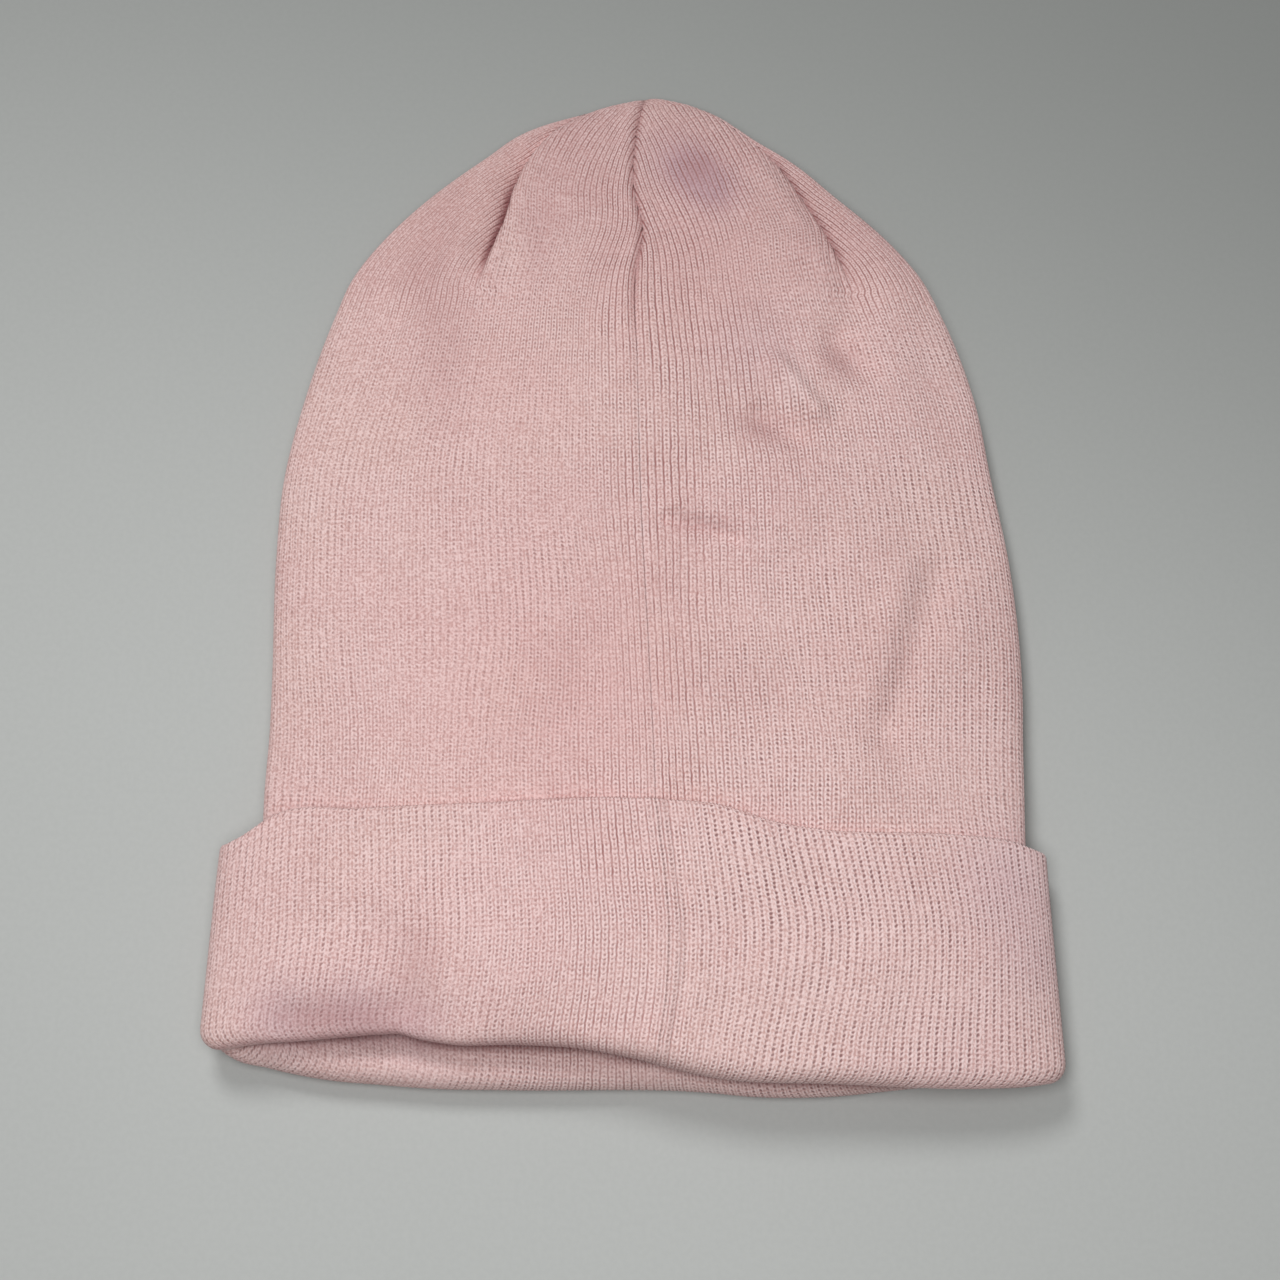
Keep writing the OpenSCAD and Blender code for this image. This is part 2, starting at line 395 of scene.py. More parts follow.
def arc_tables(form, rows, up):
    """Arc length from the middle of each row's section to its side, against phi."""
    phi = np.linspace(0, math.pi / 2, 181)
    grid = skin(form, rows[:, None] + 0 * phi, phi + 0 * rows[:, None], 0.0, up)
    steps = np.linalg.norm(np.diff(grid, axis=1), axis=2)
    return phi, np.concatenate([np.zeros((len(rows), 1)), np.cumsum(steps, axis=1)], axis=1)


def phi_at(arc, arcs, phi_table):
    """The phi at signed arc lengths from the middle, row by row."""
    phi = np.stack([np.interp(np.abs(arc[i]), arcs[i], phi_table) for i in range(len(arc))])
    return np.where(arc < 0, -phi, phi)


def path_length(reference, rows):
    """Slope of a reference line along the rows, and the distance along it."""
    slope = np.gradient(reference, rows)
    steps = np.diff(rows) * np.hypot(1, (slope[1:] + slope[:-1]) / 2)
    return slope, rows[0] + np.concatenate([[0], np.cumsum(steps)])


def wander(x, s):
    """How far a wale strays sideways from its straight line."""
    return 1.9 * lumps(x, s, 40, 23) + 0.3 * lumps(x, s / 1.6, 9, 21) + 0.12 * lumps(x, s / 1.6, 2.6, 22)


def arc_to_dart(rows, hand, dart, arcs, phi_table):
    """Arc length from the middle of each row's section to the dart."""
    half_width, middle, _, _ = body_form(rows)
    reach = half_width[:, None] * np.sin(phi_table)[None, :]
    off = np.clip(hand * (dart(rows) - middle), 0, None)
    return np.array([np.interp(off[i], reach[i], arcs[i]) for i in range(len(rows))])


def courses(rows, across, width, centre_line, inner):
    """Distance along the cloth at each point, square to the wales of the gore that it is on."""
    centre_slope, _ = path_length(centre_line, rows)
    side_slope, side_distance = path_length(width, rows)
    ramp = ease((rows - CROWN_START + 10) / 30)
    centre_lean = (ramp * centre_slope / np.hypot(1, centre_slope))[:, None]
    side_lean = (ramp * side_slope / np.hypot(1, side_slope))[:, None]
    along_centre = rows[:, None] + (across - centre_line[:, None]) * centre_lean
    along_side = mix(rows, side_distance, ramp)[:, None] + (across - width[:, None]) * side_lean
    return np.where(inner, along_centre, along_side)


def body_lattice(rows, hand, up, pitch, seam, dart):
    """Half of the body. Wales run up it, and each gore of the crown keeps its own wales parallel.

    hand is -1 for the left half and 1 for the right one. A half without a seam starts at its middle.
    """
    phi_table, arcs = arc_tables(body_form, rows, up)
    seam_at = hand * (seam(rows) - body_form(rows)[1]) if seam else 0 * rows
    width = arcs[:, -1] - seam_at
    dart_at = arc_to_dart(rows, hand, dart, arcs, phi_table) - seam_at
    dart_at = np.clip(dart_at, 0.01, width - 0.01)
    start = int(np.searchsorted(rows, CROWN_START))
    count = int(round(width[start] / pitch))
    wales = np.linspace(0, count, count * POINTS_PER_WALE + 1)

    # where each wale would run if the seams did not cut it off
    natural = wales / count * width[start]
    inner = (natural <= dart_at[start])[None, :]
    crown = (rows >= rows[start])[:, None]
    centre_line = dart_at / 2 if seam else 0 * rows
    side_shift = (width - width[start])[:, None]
    centre_shift = (centre_line - centre_line[start])[:, None]
    scaled = natural[None, :] * (width / width[start])[:, None]
    gored = natural[None, :] + np.where(inner, centre_shift, side_shift)
    free = np.where(crown, mix(scaled, gored, ease((rows - CROWN_START) / 22)[:, None]), scaled)

    # and where it runs between them: a point beyond a seam moves onto it, with the wale that is there
    lowest = np.where(crown & ~inner, dart_at[:, None], 0)
    highest = np.where(crown & inner, dart_at[:, None], width[:, None])
    across = np.clip(free, lowest, highest)
    wale = np.repeat(wales[None, :], len(rows), 0)
    for i in range(start, len(rows)):
        for group in (inner[0], ~inner[0]):
            wale[i, group] = np.interp(across[i, group], free[i, group], wales[group])

    course = courses(rows, across, width, centre_line, inner)
    s = np.repeat(rows[:, None], len(wales), 1)
    clear = ease(np.minimum(across - lowest, highest - across) / 12.0)
    across = across + clear * wander(hand * across, s)
    phi = hand * phi_at(across + seam_at[:, None], arcs, phi_table)
    stitch = course / COURSE + 0.5 * lumps(hand * across, s, 18, 11) + 0.2 * lumps(hand * across, s, 4, 12)
    lattice = Lattice(s, phi, hand * (wale + 0.5), stitch)
    return lattice if hand * up > 0 else lattice.flipped()


def on_both_sides(values):
    """The same values for the outer and the inner grid."""
    return np.tile(values.reshape(-1), 2)


def solid(name, outer, inner, wale, course, marks):
    """A closed mesh between two grids of points, without the faces that a seam has closed up."""
    rows, cols = outer.shape[:2]
    size = rows * cols
    points = np.concatenate([outer.reshape(-1, 3), inner.reshape(-1, 3)]) * MM
    index = np.arange(size).reshape(rows, cols)
    quads = np.stack([index[:-1, :-1], index[:-1, 1:], index[1:, 1:], index[1:, :-1]], -1).reshape(-1, 4)
    rim = np.concatenate([index[0, :], index[1:, -1], index[-1, -2::-1], index[-2:0:-1, 0]])
    side = np.stack([rim, rim + size, np.roll(rim, -1) + size, np.roll(rim, -1)], -1)
    quads = np.concatenate([quads, quads[:, ::-1] + size, side])

    # points in one place become one, and a face keeps the corners that are left, if there are three or more
    _, first, merged = np.unique(np.round(points, 6), axis=0, return_index=True, return_inverse=True)
    corner = merged.reshape(-1)[quads]
    repeats = corner == np.roll(corner, -1, 1)
    usable = (repeats.sum(1) < 2) & (corner[:, 0] != corner[:, 2]) & (corner[:, 1] != corner[:, 3])
    kept = ~repeats[usable]
    order = quads[usable][kept]
    counts = kept.sum(1)
    used, vertex = np.unique(merged.reshape(-1)[order], return_inverse=True)
    source = first[used]

    mesh = bpy.data.meshes.new(name)
    mesh.vertices.add(len(source))
    mesh.vertices.foreach_set("co", points[source].astype(np.float32).reshape(-1))
    mesh.loops.add(len(order))
    mesh.loops.foreach_set("vertex_index", vertex.reshape(-1).astype(np.int32))
    mesh.polygons.add(len(counts))
    mesh.polygons.foreach_set("loop_start", np.concatenate([[0], np.cumsum(counts)[:-1]]).astype(np.int32))
    rims = np.arange(len(quads)) >= len(quads) - len(side)
    mesh.polygons.foreach_set("use_smooth", ~rims[usable])
    mesh.update(calc_edges=True)
    stitches = mesh.uv_layers.new(name="stitches")
    places = np.stack([on_both_sides(wale), on_both_sides(course)], -1)
    stitches.data.foreach_set("uv", places[order].astype(np.float32).reshape(-1))
    for key, values in marks.items():
        layer = mesh.attributes.new(key, "FLOAT", "POINT")
        layer.data.foreach_set("value", on_both_sides(values)[source].astype(np.float32))
    mesh.validate()
    return add_object(name, mesh)


# ---------------- marks on the cloth, with painted shade and highlights, which the material reads

# Patches of faint colour: (strength, radius, x, s). The three on the cuff's left, just above its lip, are
# painted shade on the band there.
LILAC = [
    (1.0, 7, 14, 250), (1.0, 7, 20, 243), (0.4, 11, 10, 255), (0.5, 9, -88, 17), (0.5, 9, -70, 18),
    (0.4, 8, -55, 14), (0.5, 14, 94, 50), (0.35, 10, 98, 30), (0.3, 14, 30, 196),
]
BLUSH = [(0.9, 34, -18, 100), (0.6, 24, 20, 214), (0.5, 26, -30, 190), (0.3, 22, 60, 110)]

# Patches where the cloth is lighter or darker: (strength, half-width, half-length, x, s). Many are painted
# shade in the valleys of the folds and on the band above the cuff's left lip, a few are painted highlights on
# ridges, and the rest are uneven tone.
TONE_AND_SHADE_PATCHES = [
    (-2.7, 8, 5.5, 32, 172), (-2.7, 6, 6, 53, 192), (2.4, 4, 6, 41, 183), (-2.0, 10, 2.2, 16, 144),
    (-2.0, 5, 5, 15, 250), (1.3, 2.0, 16, -35, 231), (-1.0, 7, 14, -58, 214), (-1.0, 3.5, 10, -28, 222),
    (-1.2, 8, 16, -52, 196), (-0.5, 9, 8, -22, 248), (-0.5, 12, 9, 16, 250), (0.4, 10, 12, 60, 165),
    (-0.4, 10, 22, 66, 100), (0.5, 12, 8, 8, 60), (-0.5, 8, 12, -56, 30), (-3.6, 19, 4.5, -73, 17),
    (-1.4, 8, 12, -54, 30), (-0.5, 40, 3, -20, 13), (0.4, 14, 9, -34, 30), (-0.5, 9, 9, 70, 48),
]


def tone_and_shade(x, s):
    """How much lighter than plain yarn the cloth is, or darker below 0: uneven tone, with painted shade in
    valleys, on the lip and towards the crown, and painted highlights on ridges.
    """
    uneven = 0.45 * lumps(x, s, 26, 41) + 0.35 * lumps(x, s, 11, 42) + 0.25 * lumps(x, s, 4.5, 43)
    # painted shade: the cloth darkens towards the crown, where less light falls
    total = uneven - 1.5 * ease((s - 195) / 45)
    for strength, wide, long, x0, s0 in TONE_AND_SHADE_PATCHES:
        total = total + strength * bell((x - x0) / wide, (s - s0) / long)
    return total


def creased(x, s):
    """How deep a point is in the shade of a dart's crease, or of the seam's groove."""
    started = ease((s - 214) / 12)
    left = bell((x - dart_left(s) + 0.3) / 0.9) * started * (1 - ease((s - 240) / 16))
    right = bell((x - dart_right(s) - 0.3) / 0.9) * started * (1 - ease((s - 250) / 12))
    seam = bell((x - body_seam(s)) / 0.7) * (0.3 + 0.7 * ease((s - 196) / 25))
    return np.clip(0.95 * left + 0.5 * right + 0.35 * seam, 0, 1)


def patches(x, s, spots):
    total = 0 * x
    for strength, radius, x0, s0 in spots:
        total = total + strength * bell((x - x0) / radius, (s - s0) / radius)
    return np.clip(total, 0, 1)


def body_openness(x, s):
    """How far the rib is pulled open: 0 is closed, with a groove, and 1 has rows of holes instead."""
    base = 0.75 - 0.6 * bell((x - 9) / 24) - 0.35 * bell((x - 45) / 28, (s - 190) / 45)
    seams = bell((x - body_seam(s)) / 14) * ease((s - 200) / 25)
    sides = (ease((dart_left(s) + 4 - x) / 5) + ease((x - dart_right(s) + 4) / 5)) * ease((s - 196) / 18)
    seams = np.maximum(seams, np.maximum(sides, ease((s - 246) / 14)))
    return np.clip(base - 0.75 * seams + 0.25 * lumps(x, s, 22, 31) + 0.15 * lumps(x, s, 9, 32), 0, 1)


def cuff_openness(x, s):
    uneven = 0.2 * lumps(x, s, 20, 33) + 0.15 * lumps(x, s, 9, 34)
    return np.clip(0.95 - 0.7 * bell((x + 6) / 20) + uneven, 0, 1)


def body_crispness(x, s):
    """How clearly single stitches stand out through the fuzz."""
    return np.clip(0.8 + 0.5 * ease((x + 60) / 90) + 0.25 * lumps(x, s, 25, 35), 0, 1.5)


def cuff_crispness(x, s):
    return np.clip(0.85 + 0.45 * ease((x + 60) / 50) + 0.25 * lumps(x, s, 25, 36), 0, 1.5)


def marks_at(x, s, on_cuff):
    """Everything that the material needs to know about the cloth at a place."""
    return {
        "openness": cuff_openness(x, s) if on_cuff else body_openness(x, s),
        "crispness": cuff_crispness(x, s) if on_cuff else body_crispness(x, s),
        "tone_and_shade": tone_and_shade(x, s),
        "creased": creased(x, s),
        "lilac": patches(x, s, LILAC),
        "blush": patches(x, s, BLUSH),
    }


# ---------------- shell and lining


def shell_panel(name, lattice, up, relief):
    """A panel of the shell. At the back seam its edges lap and sink, and at the tip it thins out."""
    base = skin(body_form, lattice.s, lattice.phi, 0.0, up, relief)
    normal = skin_normal(body_form, lattice.s, lattice.phi, 0.0, up, relief)
    marks = marks_at(base[..., 0], lattice.s, False)
    at_seam = 1 - ease((np.abs(lattice.wale) - 0.5) / 0.6) if up > 0 else 0 * lattice.wale
    base[..., 0] -= SEAM_LAP * np.sign(lattice.wale) * at_seam
    depth = RIB * (1 - at_seam) * (0.2 + 0.8 * closing(lattice.s))
    sunk = SEAM_SUNK * at_seam * closing(lattice.s)
    outer = base + normal * (rib(lattice.wale, depth, marks["openness"]) - depth - sunk)[..., None]
    inner = base - normal * (KNIT * (0.08 + 0.92 * closing(lattice.s)))[..., None]
    return solid(name, outer, inner, lattice.wale, lattice.course, marks)


def lining_panel(name, lattice, up, relief):
    """A panel of the lining, with its ribs on the inside."""
    base = skin(body_form, lattice.s, lattice.phi, LINING_INSET, up, relief)
    normal = skin_normal(body_form, lattice.s, lattice.phi, LINING_INSET, up, relief)
    inner = base - normal * (KNIT - LINING_RIB + rib(lattice.wale, LINING_RIB))[..., None]
    marks = marks_at(base[..., 0], lattice.s, False)
    return solid(name, base, inner, lattice.wale, lattice.course, marks)


def rows_between(start, step):
    """Rows at equal steps up the body, which crowd together as the tip rounds off."""
    round_off = 14
    tip_rows = CROWN_END - round_off * (1 - np.sin(np.linspace(0, math.pi / 2, 16)))
    return np.concatenate([np.arange(start, CROWN_END - round_off - 0.5, step), tip_rows])


def mirrored(dart):
    return lambda s: -dart(s)


def whole_front(rows, pitch):
    left = body_lattice(rows, -1, -1, pitch, None, front_dart)
    right = body_lattice(rows, 1, -1, pitch, None, mirrored(front_dart))
    return right.beside(left)


inside_cuff = np.arange(16.0, 56.0, 4.0)
back_rows = np.concatenate([inside_cuff, rows_between(56.0, 1.4)])
front_rows = np.concatenate([inside_cuff, rows_between(56.0, 2.0)])
lining_rows = rows_between(38.0, 3.0)
lining_rows = lining_rows[lining_rows < LENGTH - LINING_SHORT]

lattice = body_lattice(back_rows, -1, 1, PITCH_LEFT, body_seam, dart_left)
shell_left = shell_panel("shell_back_left_knit", lattice, 1, body_relief)
lattice = body_lattice(back_rows, 1, 1, PITCH_RIGHT, body_seam, dart_right)
shell_right = shell_panel("shell_back_right_knit", lattice, 1, body_relief)
shell_front = shell_panel("shell_front_knit", whole_front(front_rows, PITCH_RIGHT), -1, None)

lattice = body_lattice(lining_rows, -1, 1, PITCH_LINING, body_seam, front_dart)
lining_left = lining_panel("lining_back_left_knit", lattice, 1, body_relief)
lattice = body_lattice(lining_rows, 1, 1, PITCH_LINING, body_seam, mirrored(front_dart))
lining_right = lining_panel("lining_back_right_knit", lattice, 1, body_relief)
lining_front = lining_panel("lining_front_knit", whole_front(lining_rows, PITCH_LINING), -1, None)

# ---------------- the turned-up cuff


def cuff_path(top, lip, step):
    """Rows of the cuff from its tucked end over the top edge, down and round the lip, and up inside.

    Gives s, inset, distance along the cloth and how much of the outer relief each place takes.
    """
    quarter = np.linspace(0, math.pi, 1 + max(4, int(round(math.pi * TOP_TURN / step))))[1:]
    half = np.linspace(0, math.pi, 1 + int(round(math.pi * LIP_TURN / step)))[1:]
    outside = np.linspace(0, 1, 1 + int(round(56 / step)))[1:]
    inside = np.linspace(0, 1, 1 + int(round((INSIDE_END - 8) / (step * 1.6))))[1:]
    tucked = np.linspace(0, 1, 4)
    ones = np.ones_like(top)

    s = [top - TUCK + t * (TUCK - TOP_TURN) for t in tucked]
    inset = [2 * TOP_TURN * ones for t in tucked]
    s += [top - TOP_TURN + TOP_TURN * math.sin(a) for a in quarter]
    inset += [(TOP_TURN + TOP_TURN * math.cos(a)) * ones for a in quarter]
    s += [mix(top - TOP_TURN, lip + LIP_TURN, t) for t in outside]
    inset += [0 * ones for t in outside]
    s += [lip + LIP_TURN - LIP_TURN * math.sin(a) for a in half]
    inset += [(LIP_TURN - LIP_TURN * math.cos(a)) * ones for a in half]
    s += [mix(lip + LIP_TURN, INSIDE_END, t) for t in inside]
    inset += [mix(2 * LIP_TURN, INNER_INSET, ease(t * 5)) * ones for t in inside]
    fade = np.concatenate([
        np.ones(len(tucked) + len(quarter) + len(outside)),
        0.5 + 0.5 * np.cos(half),
        np.zeros(len(inside)),
    ])
    s, inset = np.stack(s), np.stack(inset)
    steps = np.hypot(np.diff(s, axis=0), np.diff(inset, axis=0))
    distance = np.concatenate([0 * s[:1], np.cumsum(steps, axis=0)])
    return s, inset, distance, fade[:, None]


def grid_normal(grid, sign):
    along = np.gradient(grid, axis=0)
    across = np.gradient(grid, axis=1)
    return unit(np.cross(across, along)) * sign


def cuff_columns(hands, up):
    """phi and wale of each column of a cuff panel, which covers the left half (-1), the right (1) or both."""
    middle_row = np.array([CUFF_MIDDLE])
    phi_table, arcs = arc_tables(cuff_form, middle_row, up)
    columns, wales = [], []
    seam_off = float(cuff_seam(CUFF_MIDDLE)) - float(cuff_form(middle_row)[1][0]) if up > 0 else 0.0
    for hand in hands:
        seam_at = hand * seam_off
        width = arcs[0, -1] - seam_at
        count = int(round(width / PITCH_CUFF))
        wale = np.linspace(0, count, count * POINTS_PER_WALE + 1)
        phi = phi_at((seam_at + wale / count * width)[None, :], arcs, phi_table)[0]
        columns.append((hand * phi)[::hand])
        wales.append((hand * wale)[::hand])
    if len(hands) == 1:
        return columns[0], wales[0]
    return np.concatenate([columns[0], columns[1][1:]]), np.concatenate([wales[0], wales[1][1:]])


def cuff_panel(name, hands, up, lip, relief, step):
    """A panel of the cuff. Its wales run along s, at equal steps round the section."""
    phi, wale = cuff_columns(hands, up)
    flat_x = cuff_form(CUFF_MIDDLE)[1] + np.sin(phi) * CUFF_HALF
    s, inset, distance, fade = cuff_path(top_edge(flat_x), lip(flat_x), step)
    wale = np.repeat(wale[None, :], len(s), 0)
    held = 1 - np.abs(np.sin(phi)) ** 12
    bulge = 2.4 * bell((s - 40) / 20) * ease((flat_x - 15) / 45)
    phi = phi[None, :] + held * (bulge + 0.7 * wander(flat_x + 400 * up, distance)) / CUFF_HALF
    base = skin(cuff_form, s, phi, inset, up)
    if up > 0:
        base[..., 0] += (cuff_seam(s) - cuff_seam(CUFF_MIDDLE)) * (1 - np.abs(np.sin(phi)) ** 2)
        base[..., 2] += relief(base[..., 0], s) * fade * side_fade(phi)
    normal = level_sides(grid_normal(base, -up), phi)
    x = base[..., 0]
    course = distance / COURSE + 0.5 * lumps(x, s, 18, 13) + 0.2 * lumps(x, s, 4, 14)
    marks = marks_at(x, s, True)
    outer = base + normal * (rib(wale, RIB, marks["openness"]) - RIB)[..., None]
    inner = base - normal * CUFF_KNIT

    # the cuff is a little lighter, the rolled lip is darkened with painted shade, and the cloth inside the
    # mouth is darkened with painted shade
    lip_painted_shade = 1.4 + 2.6 * (1 - ease((x + 20) / 60)) if up > 0 else 2.6
    behind = 1 if up > 0 else ease((s - back_lip(x) + 2.0) / 3.5)
    marks["tone_and_shade"] = marks["tone_and_shade"] + 0.35 - lip_painted_shade * bell((inset - 4.0) / 1.9)
    marks["creased"] = 0.75 * behind * ease((inset - 5.5) / 3.0)
    if up > 0:
        outer, inner, wale, course = outer[::-1], inner[::-1], wale[::-1], course[::-1]
        marks = {key: values[::-1] for key, values in marks.items()}
    return solid(name, outer, inner, wale, course, marks)


cuff_left = cuff_panel("cuff_back_left_knit", [-1], 1, back_lip, cuff_relief, 1.3)
cuff_right = cuff_panel("cuff_back_right_knit", [1], 1, back_lip, cuff_relief, 1.3)
cuff_front = cuff_panel("cuff_front_knit", [-1, 1], -1, front_lip, None, 1.7)


# ---------------- hidden layers, seams and gathers


def cuff_facing(name, up, relief):
    """The hidden layer of the cuff: a plain ribbed sheet."""
    rows = np.arange(18.0, 49.0, 2.0)
    columns = np.arcsin(np.linspace(-1, 1, 340))
    s = np.repeat(rows[:, None], len(columns), 1)
    phi = np.repeat(columns[None, :], len(rows), 0)
    base = skin(cuff_form, s, phi, FACING_INSET, up, relief)
    normal = skin_normal(cuff_form, s, phi, FACING_INSET, up, relief)
    wale = base[..., 0] / PITCH_CUFF
    outer = base + normal * (rib(wale, FACING_RIB) - FACING_RIB)[..., None]
    inner = base - normal * FACING_KNIT
    if up < 0:
        outer, inner, wale, s = outer[:, ::-1], inner[:, ::-1], wale[:, ::-1], s[:, ::-1]
    return solid(name, outer, inner, wale, s / COURSE, marks_at(base[..., 0], s, True))


def seam_allowance(name):
    """The turned-in edges at the back seam, between shell and lining."""
    rows = np.arange(76.0, 262.0, 1.6)
    off = np.linspace(-ALLOWANCE_HALF, ALLOWANCE_HALF, 13)[None, :]
    s = np.repeat(rows[:, None], off.shape[1], 1)
    x = off + body_seam(s)
    half_width, middle, _, _ = body_form(s)
    phi = np.arcsin(np.clip((x - middle) / half_width, -1, 1))
    base = skin(body_form, s, phi, ALLOWANCE_INSET, 1, body_relief)
    normal = skin_normal(body_form, s, phi, ALLOWANCE_INSET, 1, body_relief)
    wale = (x - body_seam(s)) / ALLOWANCE_PITCH
    outer = base + normal * (rib(wale, ALLOWANCE_RIB) - ALLOWANCE_RIB)[..., None]
    return solid(name, outer, base - normal * ALLOWANCE_KNIT, wale, s / COURSE, marks_at(x, s, False))


facing_back = cuff_facing("cuff_facing_back_knit", 1, cuff_relief)
facing_front = cuff_facing("cuff_facing_front_knit", -1, None)


def lengths_along(points):
    """Distance of each point of a bent line from its start."""
    return np.concatenate([[0], np.cumsum(np.linalg.norm(np.diff(points, axis=0), axis=1))])


def smooth_path(points, step):
    """Points at equal steps along a bent line."""
    lengths = lengths_along(points)
    places = np.linspace(0, lengths[-1], max(8, int(lengths[-1] / step)))
    return np.stack([np.interp(places, lengths, points[:, k]) for k in range(points.shape[1])], 1)


def tube_rings(path, radius, sides):
    """Rings of points round a path."""
    tangent = unit(np.gradient(path, axis=0))
    side = unit(np.cross(tangent, [0, 0, 1.0]) + [1e-6, 0, 0])
    up = np.cross(side, tangent)
    angle = np.linspace(0, 2 * math.pi, sides, endpoint=False)
    ring = np.cos(angle)[None, :, None] * side[:, None] + np.sin(angle)[None, :, None] * up[:, None]
    return path[:, None] + ring * radius[:, None, None]


def tube_mesh(name, tubes):
    """One mesh of closed tubes, each given as rings of points in millimetres."""
    points, faces, base = [], [], 0
    for rings in tubes:
        count, sides = rings.shape[:2]
        points.append(rings.reshape(-1, 3))
        for i in range(count - 1):
            for j in range(sides):
                k = (j + 1) % sides
                ring, ahead = base + i * sides, base + (i + 1) * sides
                faces.append([ring + j, ahead + j, ahead + k, ring + k])
        faces.append([base + j for j in range(sides)])
        faces.append([base + (count - 1) * sides + j for j in reversed(range(sides))])
        base += count * sides
    mesh = bpy.data.meshes.new(name)
    mesh.from_pydata(np.concatenate(points) * MM, [], faces)
    mesh.polygons.foreach_set("use_smooth", np.ones(len(mesh.polygons), bool))
    mesh.update()
    return add_object(name, mesh)


def sewn_seam(name, path, width):
    """An overlock seam: a core along the path and a thread that winds round it and pins it flat."""
    path = smooth_path(path, 0.5)
    lengths = lengths_along(path)
    ends = np.sqrt(np.clip(np.minimum(lengths, lengths[-1] - lengths) / width, 0.02, 1))
    core = tube_rings(path, ends * width * 0.32, 8)
    turns = lengths[-1] / WINDING
    t = np.linspace(0.01, 0.99, int(turns * 12))
    middle = np.stack([np.interp(t * lengths[-1], lengths, path[:, k]) for k in range(3)], 1)
    tangent = unit(np.gradient(middle, axis=0))
    side = unit(np.cross(tangent, [0, 0, 1.0]))
    angle = 2 * math.pi * turns * t
    wound = middle + side * (width / 2 * np.cos(angle))[:, None]
    wound[:, 2] += width * 0.36 * np.sin(angle)
    return tube_mesh(name, [core, tube_rings(wound, np.full(len(wound), THREAD), 5)])


def line_on(form, relief, line, rows, inset, up=1):
    """Points on the cloth along a line x(s), a little below its surface."""
    half_width, middle, _, _ = form(rows)
    phi = np.arcsin(np.clip((line(rows) - middle) / half_width, -1, 1))
    return skin(form, rows, phi, inset, up, relief)


def seam_rows(start, end):
    return np.arange(start, end, 2.0)


def dart_seam(name, relief, line, inset, up):
    return sewn_seam(name, line_on(body_form, relief, line, seam_rows(206.0, 262.0), inset, up), 1.3)


line = line_on(body_form, body_relief, body_seam, seam_rows(76.0, 268.0), 2.4)
back_seam = sewn_seam("shell_back_seam_thread", line, 1.4)
line = line_on(body_form, None, body_seam, seam_rows(40.0, 262.0), 4.9)
lining_seam = sewn_seam("lining_back_seam_thread", line, 1.6)
line = line_on(cuff_form, cuff_relief, cuff_seam, seam_rows(18.0, 62.0), 2.6)
cuff_thread = sewn_seam("cuff_back_seam_thread", line, 2.0)
darts = [
    dart_seam("dart_seam_back_left_thread", body_relief, dart_left, 2.6, 1),
    dart_seam("dart_seam_back_right_thread", body_relief, dart_right, 2.6, 1),
    dart_seam("dart_seam_front_left_thread", None, front_dart, 2.4, -1),
    dart_seam("dart_seam_front_right_thread", None, mirrored(front_dart), 2.4, -1),
]
allowance = seam_allowance("back_seam_allowance_knit")


def gather(name, centre, radius, height):
    """Drawn-in rib ends: a small rosette of folds round a middle that sinks in."""
    lobes = 7
    around = np.linspace(0, 2 * math.pi, lobes * 10, endpoint=False)
    rings = []
    for t in np.linspace(0, math.pi, 20):
        fold = 1 + 0.16 * np.cos(lobes * around) * math.sin(t)
        reach = radius * math.sin(t) * fold + 0.02
        rings.append(np.stack([
            centre[0] + reach * np.cos(around),
            centre[1] - height * math.cos(t) * (1 - 0.25 * math.sin(t) ** 8) + 0 * around,
            centre[2] + reach * np.sin(around),
        ], 1))
    return tube_mesh(name, [np.stack(rings)])


_, tip_x, tip_low, tip_high = [float(value[0]) for value in body_form(np.array([LENGTH - 3.0]))]
tip_z = (tip_low + tip_high) / 2
crown_gather = gather("crown_gather_knit", (tip_x, MOUTH_Y + LENGTH - 7.5, tip_z - 0.5), 1.8, 2.0)
lining_gather = gather("lining_gather_knit", (tip_x, MOUTH_Y + LENGTH - 11.0, tip_z), 1.6, 1.5)

# ---------------- materials


class Wire:
    """A number carried by a material's sockets, with arithmetic."""

    def __init__(self, tree, socket):
        self.tree = tree
        self.socket = socket

    def math(self, operation, *others):
        node = self.tree.nodes.new("ShaderNodeMath")
        node.operation = operation
        for place, value in enumerate((self, *others)):
            put(self.tree, value, node.inputs[place])
        return Wire(self.tree, node.outputs[0])

    def __add__(self, other):
        return self.math("ADD", other)

    def __sub__(self, other):
        return self.math("SUBTRACT", other)

    def __mul__(self, other):
        return self.math("MULTIPLY", other)

    def hypot(self, other):
        return (self * self + other * other).math("SQRT")

    def to_whole(self):
        """Distance to the nearest whole number."""
        return self.math("PINGPONG", 0.5)

    def at_least(self, low):
        return self.math("MAXIMUM", low)

    def at_most(self, high):
        return self.math("MINIMUM", high)

    def step(self, start, end, low=0.0, high=1.0):
        """Smoothly from low to high as the number goes from start to end."""
        node = self.tree.nodes.new("ShaderNodeMapRange")
        node.interpolation_type = "SMOOTHSTEP"
        for place, value in enumerate((self, start, end, low, high)):
            put(self.tree, value, node.inputs[place])
        return Wire(self.tree, node.outputs[0])


def put(tree, value, socket):
    if isinstance(value, Wire):
        tree.links.new(value.socket, socket)
    else:
        socket.default_value = value


def attribute(tree, name):
    node = tree.nodes.new("ShaderNodeAttribute")
    node.attribute_name = name
    return Wire(tree, node.outputs["Fac"])


